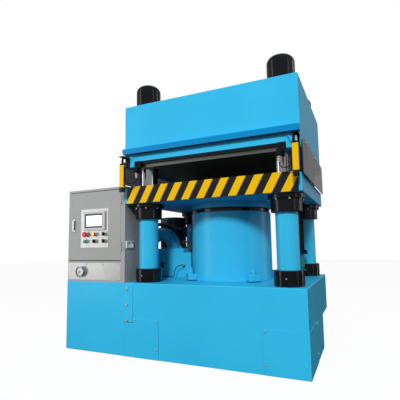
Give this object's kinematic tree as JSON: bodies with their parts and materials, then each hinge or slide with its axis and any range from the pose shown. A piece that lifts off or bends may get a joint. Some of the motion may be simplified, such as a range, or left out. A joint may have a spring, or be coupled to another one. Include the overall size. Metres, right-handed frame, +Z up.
{
  "type": "die cutting press",
  "caption": "Column-guided hydraulic press whose table rises toward a fixed heated plate, with an oil tank, pump, control cabinet and swinging door at one side.",
  "frame": {"origin": "on the floor, straight under the ram's axis, which is the middle of the four columns", "axes": "+X to the right as seen from the front, +Y from the front to the rear, +Z up along the press stroke"},
  "size_m": [1.849, 1.139, 1.997],
  "materials": {
    "frame_paint": "gloss",
    "band_paint": "gloss",
    "hard_chrome": "polished",
    "black_steel": "gloss",
    "bolt_steel": "zinc plated",
    "heating_alloy": "satin",
    "insulation_board": "matt",
    "tool_steel": "ground",
    "board_paint": "satin",
    "stripe_paint": "satin",
    "curtain_paint": "satin",
    "smoked_sheet": "gloss",
    "switch_case": "satin",
    "plunger_steel": "ground",
    "lead_sheath": "matt",
    "hose_rubber": "matt",
    "fitting_metal": "passivated",
    "housing_iron": "painted",
    "motor_paint": "satin",
    "cabinet_paint": "satin",
    "galvanised_plate": "galvanised",
    "hinge_steel": "satin",
    "brushed_plate": "brushed",
    "screen_case": "satin",
    "bezel_metal": "polished",
    "red_button": "gloss",
    "amber_button": "gloss",
    "green_button": "gloss",
    "black_knob": "satin",
    "handle_metal": "satin chrome",
    "gauge_case": "polished",
    "pointer_black": "matt"
  },
  "bodies": {
    "press_frame": {"base_collars": "black_steel", "base_frame": "frame_paint", "cabinet_shell": "cabinet_paint", "cap_nuts": "black_steel", "column_rods": "hard_chrome", "column_sleeves": "frame_paint", "corner_cover_front_left": "frame_paint", "corner_cover_front_right": "frame_paint", "cover_screws": "bolt_steel", "crown_beam": "frame_paint", "curtain_brackets": "black_steel", "cylinder_clamps": "frame_paint", "door_hinges": "hinge_steel", "elbow_pipe": "frame_paint", "filling_lid": "frame_paint", "filling_tank": "frame_paint", "foot_nuts": "black_steel", "front_band": "band_paint", "gland_ring": "black_steel", "guard_bolts": "bolt_steel", "heating_plate": "heating_alloy", "hose_fittings": "fitting_metal", "insulation_plate": "insulation_board", "light_curtains": "curtain_paint", "limit_switch": "switch_case", "lower_plate": "brushed_plate", "main_cylinder": "frame_paint", "mounting_plate": "galvanised_plate", "oil_tank": "frame_paint", "pressure_gauge": "gauge_case", "pressure_hose": "hose_rubber", "pump_housing": "housing_iron", "pump_motor": "motor_paint", "rear_guard": "smoked_sheet", "sensor_brackets": "black_steel", "sensor_leads": "lead_sheath", "side_guard_left": "smoked_sheet", "side_guard_right": "smoked_sheet", "table_sensors": "bolt_steel"},
    "moving_table": {"moving_platen": "frame_paint", "ram": "frame_paint", "guide_bushes": "black_steel", "work_plate": "tool_steel", "hazard_board": "board_paint", "hazard_stripes": "stripe_paint", "striker_bar": "black_steel"},
    "door": {"cabinet_door": "cabinet_paint", "panel_plate": "brushed_plate", "touchscreen": "screen_case", "operator_bezels": "bezel_metal", "handle_plate": "handle_metal"},
    "door_handle": {"door_handle": "handle_metal"},
    "estop_button": {"estop_button": "red_button"},
    "lit_button": {"lit_button": "amber_button"},
    "green_button": {"green_button": "green_button"},
    "selector_1": {"selector_1": "black_knob"},
    "selector_2": {"selector_2": "black_knob"},
    "selector_3": {"selector_3": "black_knob"},
    "gauge_pointer": {"gauge_pointer": "pointer_black"},
    "switch_plunger": {"switch_plunger": "plunger_steel"}
  },
  "joints": [
    {"name": "table_lift", "type": "slide", "parent": "press_frame", "child": "moving_table", "axis": [0, 0, 1], "range_m": [0, 0.12]},
    {"name": "door_hinge", "type": "hinge", "parent": "press_frame", "child": "door", "pos_m": [-0.67, -0.5225, 0.95], "axis": [0, 0, 1], "range_deg": [0, 105]},
    {"name": "handle_turn", "type": "hinge", "parent": "door", "child": "door_handle", "pos_m": [-1.124, -0.5195, 0.966], "axis": [0, -1, 0], "range_deg": [0, 90]},
    {"name": "estop_push", "type": "slide", "parent": "door", "child": "estop_button", "axis": [0, 1, 0], "range_m": [0, 0.004], "stiffness_N_per_m": 900, "springref_m": -0.002},
    {"name": "lit_push", "type": "slide", "parent": "door", "child": "lit_button", "axis": [0, 1, 0], "range_m": [0, 0.003], "stiffness_N_per_m": 600, "springref_m": -0.002},
    {"name": "green_push", "type": "slide", "parent": "door", "child": "green_button", "axis": [0, 1, 0], "range_m": [0, 0.003], "stiffness_N_per_m": 600, "springref_m": -0.002},
    {"name": "selector_1_turn", "type": "hinge", "parent": "door", "child": "selector_1", "pos_m": [-0.822, -0.5215, 0.866], "axis": [0, -1, 0], "range_deg": [-45, 45]},
    {"name": "selector_2_turn", "type": "hinge", "parent": "door", "child": "selector_2", "pos_m": [-0.911, -0.5215, 0.814], "axis": [0, -1, 0], "range_deg": [-45, 45]},
    {"name": "selector_3_turn", "type": "hinge", "parent": "door", "child": "selector_3", "pos_m": [-0.822, -0.5215, 0.814], "axis": [0, -1, 0], "range_deg": [-45, 45]},
    {"name": "gauge_needle", "type": "hinge", "parent": "press_frame", "child": "gauge_pointer", "pos_m": [-1.043, -0.538, 0.585], "axis": [0, 1, 0], "range_deg": [0, 270], "stiffness_Nm_per_rad": 0.002, "springref_deg": -11.46},
    {"name": "plunger_push", "type": "slide", "parent": "press_frame", "child": "switch_plunger", "axis": [0, 0, -1], "range_m": [0, 0.005], "stiffness_N_per_m": 700, "springref_m": -0.003}
  ]
}
